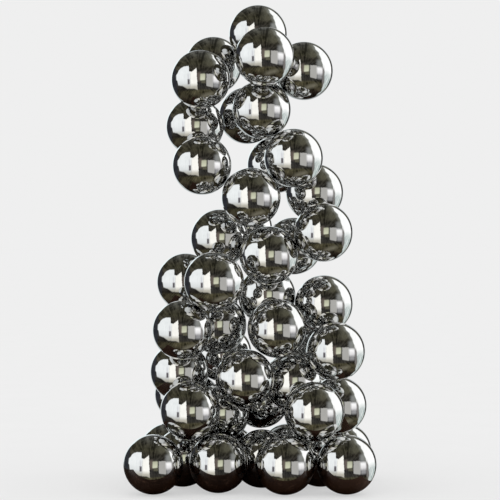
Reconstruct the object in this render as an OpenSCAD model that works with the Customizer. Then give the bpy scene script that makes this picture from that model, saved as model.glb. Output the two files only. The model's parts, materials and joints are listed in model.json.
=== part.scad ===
// Magnetic desk sculpture: a leaning openwork tower of loose magnet balls.
// Every ball is a solid, mirror-plated magnet. Nothing else holds the tower together.
// The origin is on the desk, in the middle of the foot. +Z is up, -Y is the front.

/* [Balls] */
// Diameter of every ball
ball_d = 12.7; // [6:0.1:25.4]
// Clearance left where two balls touch
touch_gap = 0.1; // [0.06:0.01:0.2]
// Facets round each ball in the preview
ball_facets = 96; // [48:8:128]

/* [Hidden] */
// Distance between the centres of two touching balls
pitch = ball_d + touch_gap;

// Balls that stand on the desk: name, then how far right and how far back, in pitches
DESK_BALLS = [
    ["foot_front_left", -1.6, -1.5],
    ["foot_front_mid_left", -0.53, -1.3],
    ["foot_front_mid_right", 0.58, -1.55],
    ["foot_front_right", 1.6, -1.5],
    ["foot_second_left", -1.15, -0.45],
    ["foot_second_middle", 0.2, -0.6],
    ["foot_second_right", 1.2, -0.45],
    ["foot_third_left", -1.45, 0.55],
    ["foot_third_mid_left", -0.4, 0.5],
    ["foot_third_mid_right", 0.65, 0.5],
    ["foot_third_right", 1.65, 0.65],
    ["foot_back_left", -0.9, 1.4],
    ["foot_back_right", 1.1, 1.5],
];

// Balls that cling to an earlier ball: name, neighbour, turn round the vertical
// from the right-hand side, and lift above level, both in degrees
HELD_BALLS = [
    ["step_left", "foot_front_mid_left", -170, 62],
    ["step_right", "foot_front_mid_right", 15, 60],
    ["step_right_rear", "foot_second_right", 50, 60],
    ["step_middle", "foot_second_left", 0, 50],
    ["step_centre", "step_middle", 45, 10],
    ["step_left_rear", "foot_back_left", 175, 71],
    ["step_left_back", "foot_third_left", -14, 62],
    ["step_right_back", "foot_third_right", 160, 55],
    ["lower_left", "step_left", 105, 37],
    ["lower_front", "step_middle", -57, 39],
    ["lower_middle", "step_centre", -55, 22],
    ["lower_right", "lower_middle", -32, 32],
    ["waist_left", "lower_left", -84, 47],
    ["waist_middle", "waist_left", 55, 3],
    ["lower_left_rear", "waist_middle", 84, -32],
    ["waist_front", "lower_front", 10, 57],
    ["waist_rear", "lower_left_rear", 120, 60],
    ["waist_centre", "waist_front", 101, 32],
    ["waist_right", "waist_centre", -10, -8],
    ["waist_right_rear", "waist_right", 98, -38],
    ["middle_front_left", "waist_left", -25, 54],
    ["middle_left", "waist_middle", 145, 47],
    ["middle_right_rear", "waist_centre", 26, 59],
    ["middle_front", "waist_centre", -88, 44],
    ["middle_left_upper", "middle_left", -25, 49],
    ["middle_right", "middle_front", 0, 23],
    ["middle_rear", "middle_left_upper", 65, 10],
    ["chest_right", "middle_right", 100, 44],
    ["chest_rear", "chest_right", 140, 30],
    ["chest_front_right", "chest_right", -117, 34],
    ["chest_front", "chest_front_right", -165, -42],
    ["chest_left", "chest_front", 170, 33],
    ["neck_left", "chest_left", 101, 44],
    ["neck_front", "chest_front_right", 165, 56],
    ["neck_rear", "neck_front", 104, -2],
    ["crown_left", "neck_left", -80, 49],
    ["crown_left_rear", "crown_left", 78, 19],
    ["crown_right", "neck_front", 14, 42],
    ["crown_front", "crown_right", -133, 10],
    ["crown_top", "crown_front", 97, 28],
];

// Middle of the foot, so that the origin sits at its centre
foot_x = [for (b = DESK_BALLS) b[1]];
foot_y = [for (b = DESK_BALLS) b[2]];
mid_x = (min(foot_x) + max(foot_x)) / 2;
mid_y = (min(foot_y) + max(foot_y)) / 2;

function direction(turn, lift) = [cos(lift) * cos(turn), cos(lift) * sin(turn), sin(lift)];
function centre(name, placed) = placed[search([name], placed)[0]][1];
function standing() =
    [for (b = DESK_BALLS) [b[0], [(b[1] - mid_x) * pitch, (b[2] - mid_y) * pitch, ball_d / 2]]];
function cling(b, placed) = [b[0], centre(b[1], placed) + pitch * direction(b[2], b[3])];
function held(placed, i = 0) =
    i == len(HELD_BALLS) ? placed : held(concat(placed, [cling(HELD_BALLS[i], placed)]), i + 1);

// Name and centre of every ball
PLACED = held(standing());
NODES = [for (b = PLACED) b[0]];

module ball(name) {
    color("silver") translate(centre(name, PLACED)) sphere(d = ball_d, $fn = ball_facets);
}

for (name = NODES)
    ball(name);
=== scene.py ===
"""Magnetic desk sculpture: a leaning tower of loose, mirror-plated magnet balls on a pale desk.

The balls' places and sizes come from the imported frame. The room that they mirror is painted by
the world shader: a window and a door on the left, small lamps ahead and a white wall on the right.
"""
import json
import math

import bmesh
import bpy
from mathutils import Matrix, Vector


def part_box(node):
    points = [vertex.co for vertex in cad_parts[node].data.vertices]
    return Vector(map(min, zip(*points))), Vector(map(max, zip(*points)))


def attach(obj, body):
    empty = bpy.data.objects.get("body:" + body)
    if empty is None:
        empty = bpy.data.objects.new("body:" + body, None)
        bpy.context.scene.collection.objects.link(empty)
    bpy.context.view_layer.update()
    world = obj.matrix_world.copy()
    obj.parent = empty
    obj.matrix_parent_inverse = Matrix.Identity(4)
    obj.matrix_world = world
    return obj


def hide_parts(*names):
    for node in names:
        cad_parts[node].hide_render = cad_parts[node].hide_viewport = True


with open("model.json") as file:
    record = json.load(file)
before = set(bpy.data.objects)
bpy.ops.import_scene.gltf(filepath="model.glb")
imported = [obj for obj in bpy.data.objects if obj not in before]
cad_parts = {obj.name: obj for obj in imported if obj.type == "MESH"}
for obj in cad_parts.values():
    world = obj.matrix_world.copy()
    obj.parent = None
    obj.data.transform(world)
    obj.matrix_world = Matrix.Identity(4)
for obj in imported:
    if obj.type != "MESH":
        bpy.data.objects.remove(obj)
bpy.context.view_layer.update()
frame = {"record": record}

# ---------------------------------------------------------------- camera
BALL_D = 0.0127                 # diameter of one ball, metres
CAMERA_DISTANCE = 33.53 * BALL_D
CAMERA_HEIGHT = 4.08 * BALL_D
CAMERA_RIGHT = -0.025 * BALL_D
LENS = 138.2                    # millimetres
SENSOR = 36                     # millimetres across
CLIP = (0.01, 200)              # nearest and farthest point that is drawn, metres

# ---------------------------------------------------------------- look
BACKDROP = 0.863                # brightness of the pale surroundings
DESK_ALBEDO = 0.80
DESK_GLOW = 0.6                 # share of the desk's brightness that no shadow darkens
WHITE = (1, 1, 1, 1)
PLATING = (0.62, 0.619, 0.613, 1)
SMUDGED = (0.56, 0.559, 0.553, 1)
FRONT = (0, -1, 0)              # the way to the camera
PROBE_DROP = 0.025              # how far the camera's height shifts the mirrored room down a ball

# ---------------------------------------------------------------- shapes, in metres
BALL_CUTS = 30                  # squares along one side of the grid that a ball's mesh is made from
DESK_EDGES = (-60, 60, -60, 60)                 # left, right, front and back
MAT_EDGES = (-0.05, 0.029, -0.0275, 0.05)
DESK_TOP, MAT_TOP = -0.00002, -0.00001          # both just clear of the lowest balls

# Tones of the room from straight up (0) to straight down (1), as 8-bit screen colours.
WALL_TONES = (
    (0.00, (96, 96, 94)), (0.06, (82, 82, 76)), (0.15, (66, 64, 54)), (0.22, (69, 67, 53)),
    (0.30, (66, 63, 54)), (0.37, (59, 57, 52)), (0.44, (60, 58, 56)), (0.58, (58, 57, 55)),
    (0.66, (55, 53, 49)), (0.70, (82, 78, 59)), (0.78, (72, 67, 52)), (0.84, (44, 37, 30)),
    (1.00, (20, 15, 12)),
)

# Edges of the big shapes, as places on a mirror ball seen from the front: see Room.
WINDOW_TOP = ((-1.0, 0.0), (-0.80, -0.20), (-0.68, -0.38), (-0.56, -0.44), (-0.385, -0.455),
              (-0.38, -0.27), (-0.28, -0.245), (-0.12, -0.39), (0.0, -0.39))
WINDOW_BOTTOM = ((-1.0, 0.05), (-0.74, 0.17), (-0.62, 0.20), (-0.45, 0.31), (-0.20, 0.32), (0.0, 0.40))
WINDOW_LEFT = ((-1.0, -0.72), (-0.30, -0.825), (-0.03, -0.825), (0.0, -0.78), (0.2, -0.75), (1.0, -0.6))
DOOR_BOTTOM = ((-1, 0.2), (0.18, 0.22), (0.42, 0.27), (0.62, 0.24), (1, 0.2))
WALL_EDGE = ((-1.0, 0.24), (-0.78, 0.37), (-0.60, 0.50), (-0.40, 0.575), (-0.20, 0.635),
             (0.0, 0.695), (0.30, 0.71), (0.6, 0.66), (0.80, 0.50))


def srgb(red, green, blue, gain=1.0):
    """8-bit screen colour to linear light, with a gain for lamps brighter than white."""
    def one(value):
        value /= 255
        return gain * (value / 12.92 if value <= 0.04045 else ((value + 0.055) / 1.055) ** 2.4)
    return (one(red), one(green), one(blue), 1)


# ---------------------------------------------------------------- node arithmetic
class Value:
    """A number in a shader, so that masks can be written as plain arithmetic."""

    def __init__(self, tree, socket):
        self.tree, self.socket = tree, socket

    def _math(self, operation, other=None, third=None, swap=False):
        node = self.tree.nodes.new("ShaderNodeMath")
        node.operation = operation
        inputs = (other, self, third) if swap else (self, other, third)
        for slot, item in zip(node.inputs, inputs):
            plug(self.tree, slot, item)
        return Value(self.tree, node.outputs[0])

    def __add__(self, other):
        return self._math("ADD", other)

    def __mul__(self, other):
        return self._math("MULTIPLY", other)

    def __sub__(self, other):
        return self._math("SUBTRACT", other)

    def __rsub__(self, other):
        return self._math("SUBTRACT", other, swap=True)

    def __truediv__(self, other):
        return self._math("DIVIDE", other)

    def root(self):
        return self._math("SQRT")

    def turn(self, other):
        """The angle whose tangent is this value over the other, in radians."""
        return self._math("ARCTAN2", other)

    def floor(self, low=0.0):
        return self._math("MAXIMUM", low)

    def clamp(self, low=0.0, high=1.0):
        return self.floor(low)._math("MINIMUM", high)

    def _step(self):
        """0 far below nought and 1 far above it, with a rounded shoulder."""
        return (self + 0.5)._math("SMOOTH_MIN", 1.0, 0.3).floor()

    def above(self, edge, soft):
        """1 where the value is more than the edge, with a soft step."""
        return ((self - edge) / (2 * soft))._step()

    def below(self, edge, soft):
        """1 where the value is less than the edge, with a soft step."""
        return ((edge - self) / (2 * soft))._step()

    def between(self, low, high, soft):
        return self.above(low, soft) * self.below(high, soft)

    def profile(self, points, smooth=False):
        """The height of a line through given points, read at this value."""
        xs, ys = zip(*points)
        x0, x1, y0, y1 = xs[0], xs[-1], min(ys), max(ys)
        stops = [((x - x0) / (x1 - x0), ((y - y0) / (y1 - y0),) * 3 + (1,)) for x, y in points]
        along = (self - x0) / (x1 - x0)
        return Value(self.tree, colour_ramp(self.tree, along, stops, smooth)) * (y1 - y0) + y0


def plug(tree, slot, item):
    """Link a Value or a socket into a slot, or set the slot to a constant."""
    if isinstance(item, Value):
        item = item.socket
    if isinstance(item, bpy.types.NodeSocket):
        tree.links.new(item, slot)
    elif item is not None:
        slot.default_value = item


def fill(tree, node, items):
    """Plug a dictionary of values, sockets and constants into a node, by the names of its inputs."""
    for name, item in items.items():
        plug(tree, node.inputs[name], item)


def colour_ramp(tree, along, stops, smooth=False):
    node = tree.nodes.new("ShaderNodeValToRGB")
    node.color_ramp.interpolation = "EASE" if smooth else "LINEAR"
    elements = node.color_ramp.elements
    elements[0].position, elements[1].position = 0.0, 1.0
    for position, _ in stops[1:-1]:
        elements.new(position)
    for element, (_, colour) in zip(elements, stops):
        element.color = colour
    plug(tree, node.inputs[0], along)
    return node.outputs[0]


def mix(tree, mask, under, over, blend="MIX"):
    """over where the mask is 1, under where it is 0."""
    node = tree.nodes.new("ShaderNodeMix")
    node.data_type, node.blend_type = "RGBA", blend
    for slot, item in ((0, mask), (6, under), (7, over)):
        plug(tree, node.inputs[slot], item)
    return node.outputs[2]


def noise(tree, vector, scale, detail=2.0, rough=0.5):
    node = tree.nodes.new("ShaderNodeTexNoise")
    fill(tree, node, {"Vector": vector, "Scale": scale, "Detail": detail, "Roughness": rough})
    return Value(tree, node.outputs["Fac"])


def stretched(tree, vector, x, y, z):
    node = tree.nodes.new("ShaderNodeMapping")
    fill(tree, node, {"Vector": vector, "Scale": (x, y, z)})
    return node.outputs["Vector"]


def joined(tree, x, y):
    node = tree.nodes.new("ShaderNodeCombineXYZ")
    fill(tree, node, {"X": x, "Y": y})
    return node.outputs[0]


def axes(tree, vector):
    """The x, y and z of a vector."""
    node = tree.nodes.new("ShaderNodeSeparateXYZ")
    plug(tree, node.inputs[0], vector)
    return [Value(tree, socket) for socket in node.outputs]


def vector_math(tree, operation, *items):
    node = tree.nodes.new("ShaderNodeVectorMath")
    node.operation = operation
    for slot, item in zip(node.inputs, items):
        plug(tree, slot, item)
    return node.outputs[0]


# ---------------------------------------------------------------- the room in the mirrors
class Room:
    """The room that the balls mirror, painted layer by layer.

    A direction into the room shows up on a mirror ball, seen from the front, where the surface
    faces half way between that direction and the front. That place on the ball is given by right
    and down, both from -1 to 1, and by its radius from the ball's middle, which is 1 at the outline.
    """

    def __init__(self, tree):
        self.tree = tree
        self.ray = tree.nodes.new("ShaderNodeTexCoord").outputs["Generated"]
        half_way = vector_math(tree, "NORMALIZE", vector_math(tree, "ADD", self.ray, FRONT))
        across, _, up = axes(tree, half_way)
        wobble = (noise(tree, self.ray, 9.0, 3.0) - 0.5) * 0.035
        self.right = across + wobble
        self.down = up * -1.0 + wobble - PROBE_DROP
        self.radius = (self.right * self.right + self.down * self.down).root()
        self.colour = None

    def noise(self, x, y, detail=2.0, rough=0.5):
        """Noise over a flat picture that is laid out by two values."""
        return noise(self.tree, joined(self.tree, x, y), 1.0, detail, rough)

    def streaks(self, x, y, z, detail, rough=0.5):
        """Noise over the walls, drawn out along the axes with the smaller scales."""
        return noise(self.tree, stretched(self.tree, self.ray, x, y, z), 1.0, detail, rough)

    def patch(self, across, height):
        """A rectangle on the ball: near edge, far edge and softness, both rightwards and downwards."""
        return self.right.between(*across) * self.down.between(*height)

    def mix(self, mask, under, over, blend="MIX"):
        return mix(self.tree, mask, under, over, blend)

    def paint(self, mask, colour):
        self.colour = self.mix(mask, self.colour, colour)


def paint_walls(room):
    """Olive ceiling, charcoal wall ahead, brown floor, all mottled and crossed by beams."""
    right, down = room.right, room.down
    grain = noise(room.tree, room.ray, 5.0, 4.0, 0.6)
    stops = [(position, srgb(*tone)) for position, tone in WALL_TONES]
    walls = colour_ramp(room.tree, down * 0.5 + 0.5, stops)
    turn = right.turn(down)
    beams = room.noise(turn * 9.0, room.radius * 1.5, 4.0, 0.7)
    patches = room.noise(right * 2.6 + down, down * 3.4 - right)
    fine = room.noise(turn * 26.0, room.radius * 3.0, 3.0, 0.6)
    mottle = (grain * 1.2 + beams * 3.1 + fine * 1.9 + patches * 3.2 - 4.0).clamp(0.06, 2.2)
    room.colour = room.mix(0.85, walls, mottle, "MULTIPLY")
    sheen = room.patch((0.12, 0.50, 0.10), (-0.92, -0.46, 0.08)) * (beams * 2.0 - 0.5).floor()
    room.paint((sheen * 0.7).clamp(), srgb(108, 107, 93))
    shade = right.below(-0.45, 0.15) * down.above(0.22, 0.1)
    room.paint(shade * 0.5, srgb(30, 26, 22))


def paint_lamps(room):
    """Small patches ahead of the balls: a yellowish pane, a grey door and a bright lamp."""
    right, down = room.right, room.down
    room.paint(room.patch((-0.11, 0.02, 0.03), (-0.22, 0.08, 0.05)) * 0.7, srgb(112, 101, 94))
    yellow = room.mix(down.profile(((-0.2, 0.0), (0.05, 1.0))), srgb(180, 182, 158), srgb(214, 216, 192))
    room.paint(room.patch((-0.005, 0.165, 0.022), (-0.18, 0.045, 0.022)), yellow)
    room.paint(room.patch((0.03, 0.18, 0.015), (0.05, 0.14, 0.02)), srgb(92, 90, 76))
    door = (right.between(0.205, 0.44, 0.012) * down.above(-0.18, 0.012)
            * down.below(right.profile(DOOR_BOTTOM), 0.015))
    room.paint(door, srgb(170, 169, 166, 1.05))
    room.paint(room.patch((0.45, 0.62, 0.03), (0.05, 0.26, 0.04)), srgb(150, 150, 152))
    room.paint(room.patch((0.43, 0.60, 0.05), (-0.37, -0.14, 0.05)) * 0.85, srgb(140, 142, 141))
    lamp = room.mix(down.profile(((-0.14, 0.0), (0.14, 1.0))),
                    srgb(252, 252, 253, 1.2), srgb(208, 206, 208))
    room.paint(room.patch((0.435, 0.635, 0.03), (-0.125, 0.11, 0.045)), lamp)
    shelf = (down + right * 0.3).between(0.54, 0.66, 0.05) * right.between(0.02, 0.45, 0.10)
    room.paint(shelf * 0.5, srgb(140, 136, 120))


def paint_window(room):
    """A tall cool window with a warm door frame to its right, cut at the top by a plant."""
    right, down = room.right, room.down
    shape = (down.above(right.profile(WINDOW_TOP), 0.012) * down.below(right.profile(WINDOW_BOTTOM), 0.02)
             * right.above(down.profile(WINDOW_LEFT), 0.012) * (right - down * 0.05).below(-0.112, 0.006))
    streaks = room.streaks(14, 14, 1.5, 3.0)
    cool = room.mix(streaks, srgb(221, 226, 228), srgb(246, 249, 250, 1.08))
    cool = room.mix(down.above(0.08, 0.12) * 0.4, cool, srgb(184, 188, 190))
    warm = room.mix(streaks, srgb(244, 243, 236), srgb(253, 252, 248, 1.12))
    pane = room.mix(right.above(-0.335, 0.012), cool, warm)
    pane = room.mix(down.above(0.20, 0.07) * 0.85, pane, srgb(168, 164, 150))
    frame_edge = right.between(-0.345, -0.325, 0.006) * down.above(-0.2, 0.05)
    pane = room.mix(frame_edge * 0.5, pane, srgb(196, 192, 184))
    handle = room.patch((-0.435, -0.36, 0.012), (-0.01, 0.165, 0.015))
    pane = room.mix(handle, pane, srgb(92, 88, 92))
    blind = room.patch((-0.43, -0.38, 0.02), (-0.18, 0.02, 0.05))
    pane = room.mix(blind * 0.4, pane, srgb(170, 166, 178))
    room.paint(shape, pane)


def paint_white_wall(room):
    """The white wall on the right, between two bowed edges, streaky in its lower part."""
    right, down, radius = room.right, room.down, room.radius
    inner = down.profile(WALL_EDGE, smooth=True)
    fringe = right.above(inner - 0.07, 0.06) * down.between(-0.9, -0.1, 0.1) * radius.below(0.93, 0.02)
    room.paint(fringe * 0.6, srgb(150, 152, 146))
    shape = right.above(inner, 0.016) * radius.below(0.935, 0.012) * down.below(0.80, 0.05)
    streaks = room.streaks(16, 16, 2, 4.0, 0.65)
    folds = room.noise(right * 30.0 + down * 9.0, down * 2.5, 3.0, 0.7)
    sheet = room.mix((folds * 4.0 + streaks - 2.0).clamp(), srgb(150, 166, 164), srgb(226, 232, 231))
    plain = room.mix(down.above(0.02, 0.12), srgb(252, 253, 253, 1.15), sheet)
    plain = room.mix(down.below(-0.3, 0.15) * (folds * 3.0 - 1.2).clamp() * 0.5,
                     plain, srgb(196, 204, 202))
    room.paint(shape, plain)
    arc = room.patch((0.635, 0.70, 0.015), (-0.15, 0.45, 0.1)) * radius.below(0.80, 0.02)
    room.paint(arc * 0.6, srgb(150, 146, 144))


def paint_far_end(room):
    """The end of the room that shows on the rim of a ball: a dark wall with a pale screen on it."""
    band = room.right.below(-0.81, 0.012) * room.radius.below(0.965, 0.01)
    room.paint(band * 0.8, srgb(44, 46, 52))
    across, ahead, up = axes(room.tree, room.ray)
    screen = across.between(-0.44, 0.33, 0.02) * up.between(-0.40, 0.36, 0.02) * ahead.above(0.5, 0.1)
    pale = room.mix(across.above(-0.05, 0.2), srgb(214, 224, 226, 1.1), srgb(172, 176, 178))
    pale = room.mix(up.below(-0.05, 0.15) * 0.6, pale, srgb(120, 122, 120))
    room.paint(screen, pale)


def background(tree, colour, strength):
    node = tree.nodes.new("ShaderNodeBackground")
    fill(tree, node, {"Color": colour, "Strength": strength})
    return node.outputs[0]


def either(tree, test, no, yes):
    node = tree.nodes.new("ShaderNodeMixShader")
    for slot, socket in zip(node.inputs, (test, no, yes)):
        plug(tree, slot, socket)
    return node.outputs[0]


def make_world():
    """Mirrors see the room, the desk sees an even sky, and the camera sees a pale backdrop."""
    world = bpy.data.worlds.new("studio")
    bpy.context.scene.world = world
    world.use_nodes = True
    world.cycles.sampling_method = "NONE"
    tree = world.node_tree
    tree.nodes.clear()
    room = Room(tree)
    for paint in (paint_walls, paint_lamps, paint_window, paint_white_wall, paint_far_end):
        paint(room)
    mirrored = background(tree, room.colour, 1 / PLATING[0])
    sky = background(tree, WHITE, BACKDROP / DESK_ALBEDO)
    plain = background(tree, WHITE, BACKDROP)
    path = tree.nodes.new("ShaderNodeLightPath").outputs
    unseen = either(tree, path["Is Glossy Ray"], sky, mirrored)
    seen = either(tree, path["Is Camera Ray"], unseen, plain)
    out = tree.nodes.new("ShaderNodeOutputWorld")
    plug(tree, out.inputs[0], seen)


# ---------------------------------------------------------------- materials
def new_material(name):
    material = bpy.data.materials.new(name)
    material.use_nodes = True
    tree = material.node_tree
    return material, tree, tree.nodes["Principled BSDF"]


def object_place(tree):
    return tree.nodes.new("ShaderNodeTexCoord").outputs["Object"]


def own_place(tree):
    """Object coordinates, shifted by each ball's own chance number: no two balls are marked alike."""
    place = object_place(tree)
    chance = Value(tree, tree.nodes.new("ShaderNodeObjectInfo").outputs["Random"])
    return vector_math(tree, "ADD", place, joined(tree, chance * 3.1, chance * -1.7))


def nickel_plating():
    """Mirror-polished nickel: handling haze in the gloss, hair scratches and a trace of orange peel."""
    material, tree, shader = new_material("nickel_plating")
    place = own_place(tree)
    haze = noise(tree, place, 420.0, 5.0, 0.65)
    tint = mix(tree, (haze * 2.2 - 0.6).clamp(), SMUDGED, PLATING)
    scratch = noise(tree, stretched(tree, place, 2600, 260, 900), 1.0, 4.0, 0.7)
    rough = (haze - 0.55).floor() * 0.15 + (scratch - 0.62).floor() * 0.4 + 0.006
    peel = noise(tree, place, 480.0)
    bump = tree.nodes.new("ShaderNodeBump")
    fill(tree, bump, {"Height": scratch * 0.25 + peel, "Strength": 0.025, "Distance": 0.0001})
    fill(tree, shader, {"Base Color": tint, "Metallic": 1.0, "Roughness": rough,
                        "Normal": bump.outputs[0]})
    return material


def desk_surface():
    """Pale matt desk top with a very faint grain."""
    material, tree, shader = new_material("desk_surface")
    grain = noise(tree, object_place(tree), 60.0, 3.0)
    level = DESK_ALBEDO * (1 - DESK_GLOW)
    tint = mix(tree, grain, (level - 0.01,) * 3 + (1,), (level + 0.01,) * 3 + (1,))
    fill(tree, shader, {"Base Color": tint, "Roughness": 1.0, "Specular IOR Level": 0.0,
                        "Emission Color": WHITE, "Emission Strength": BACKDROP * DESK_GLOW})
    return material


def mat_and_shade_surface():
    """What mirrors see right under the tower: a dark brown, slightly glossy mat, its near-black tone
    partly painted shade of the tower.
    """
    material, tree, shader = new_material("dark_mat_and_painted_shade")
    place = object_place(tree)
    grain = noise(tree, place, 90.0, 4.0)
    # painted glints: streaks of lighter brown that stand in for highlights of light off the mat
    painted_glints = (noise(tree, stretched(tree, place, 160, 500, 1), 1.0, 4.0, 0.7) * 6.0 - 3.3).clamp()
    # painted shade: the mat's own dark brown, mottled by grain, is taken down to near-black as the
    # tower's shadow on it
    tint = mix(tree, grain, (0.010, 0.0042, 0.0025, 1), (0.048, 0.020, 0.011, 1))
    tint = mix(tree, painted_glints * 0.5, tint, (0.16, 0.085, 0.055, 1))
    # painted light: the right part of the mat is lighter brown, as if lit from the right
    painted_lit_right = axes(tree, place)[0].above(0.012, 0.015)
    tint = mix(tree, painted_lit_right * 0.5, tint, (0.07, 0.034, 0.020, 1))
    fill(tree, shader, {"Base Color": tint, "Roughness": 0.5, "Specular IOR Level": 0.1})
    return material


# ---------------------------------------------------------------- balls
def ball_mesh(name, radius, segments):
    """A cube's faces, cut into a grid and blown up to a sphere, so no point is pinched to a pole."""
    mesh = bpy.data.meshes.new(name)
    solid = bmesh.new()
    bmesh.ops.create_cube(solid, size=2.0)
    bmesh.ops.subdivide_edges(solid, edges=solid.edges[:], cuts=segments - 1, use_grid_fill=True)
    for vertex in solid.verts:
        even = Vector([math.tan(part * math.pi / 4) for part in vertex.co])
        vertex.co = even.normalized() * radius
    bmesh.ops.recalc_face_normals(solid, faces=solid.faces[:])
    for face in solid.faces:
        face.smooth = True
    solid.to_mesh(mesh)
    solid.free()
    return mesh


def make_balls(material):
    """A ball in the place of each CAD ball. They are all one size, so they share one mesh."""
    bodies = frame["record"]["behaviour"]["bodies"]
    body_of = {node: body for body, nodes in bodies.items() for node in nodes}
    mesh = None
    for node in sorted(body_of):
        low, high = (Vector(corner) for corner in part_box(node))
        if mesh is None:
            mesh = ball_mesh("magnet_ball", (high - low).z / 2, BALL_CUTS)
            mesh.materials.append(material)
        ball = bpy.data.objects.new("ball_" + node, mesh)
        bpy.context.scene.collection.objects.link(ball)
        ball.location = (low + high) / 2
        bpy.context.view_layer.update()
        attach(ball, body_of[node])
        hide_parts(node)


# ---------------------------------------------------------------- stage
def make_sheet(name, edges, height, material):
    """A flat rectangle of the stage, from its left, right, front and back edges."""
    left, right, front, back = edges
    corners = ((left, front), (right, front), (right, back), (left, back))
    mesh = bpy.data.meshes.new(name)
    mesh.from_pydata([(x, y, height) for x, y in corners], [], [(0, 1, 2, 3)])
    mesh.materials.append(material)
    sheet = bpy.data.objects.new(name, mesh)
    bpy.context.scene.collection.objects.link(sheet)
    return sheet


def make_stage():
    """The desk that the camera sees, and the dark mat, with painted shade and glints, that only the
    mirrors see.
    """
    desk = make_sheet("desk", DESK_EDGES, DESK_TOP, desk_surface())
    desk.visible_glossy = False
    mat = make_sheet("mirror_mat", MAT_EDGES, MAT_TOP, mat_and_shade_surface())
    mat.visible_camera = mat.visible_diffuse = mat.visible_shadow = False


def make_camera():
    """A level camera, far off and straight in front of the tower."""
    data = bpy.data.cameras.new("camera")
    data.lens, data.sensor_width = LENS, SENSOR
    data.clip_start, data.clip_end = CLIP
    camera = bpy.data.objects.new("camera", data)
    camera.location = (CAMERA_RIGHT, -CAMERA_DISTANCE, CAMERA_HEIGHT)
    camera.rotation_euler = (math.pi / 2, 0, 0)
    bpy.context.scene.collection.objects.link(camera)
    bpy.context.scene.camera = camera


bpy.context.scene.view_settings.view_transform = "Standard"
make_world()
make_balls(nickel_plating())
make_stage()
make_camera()

bpy.context.view_layer.update()
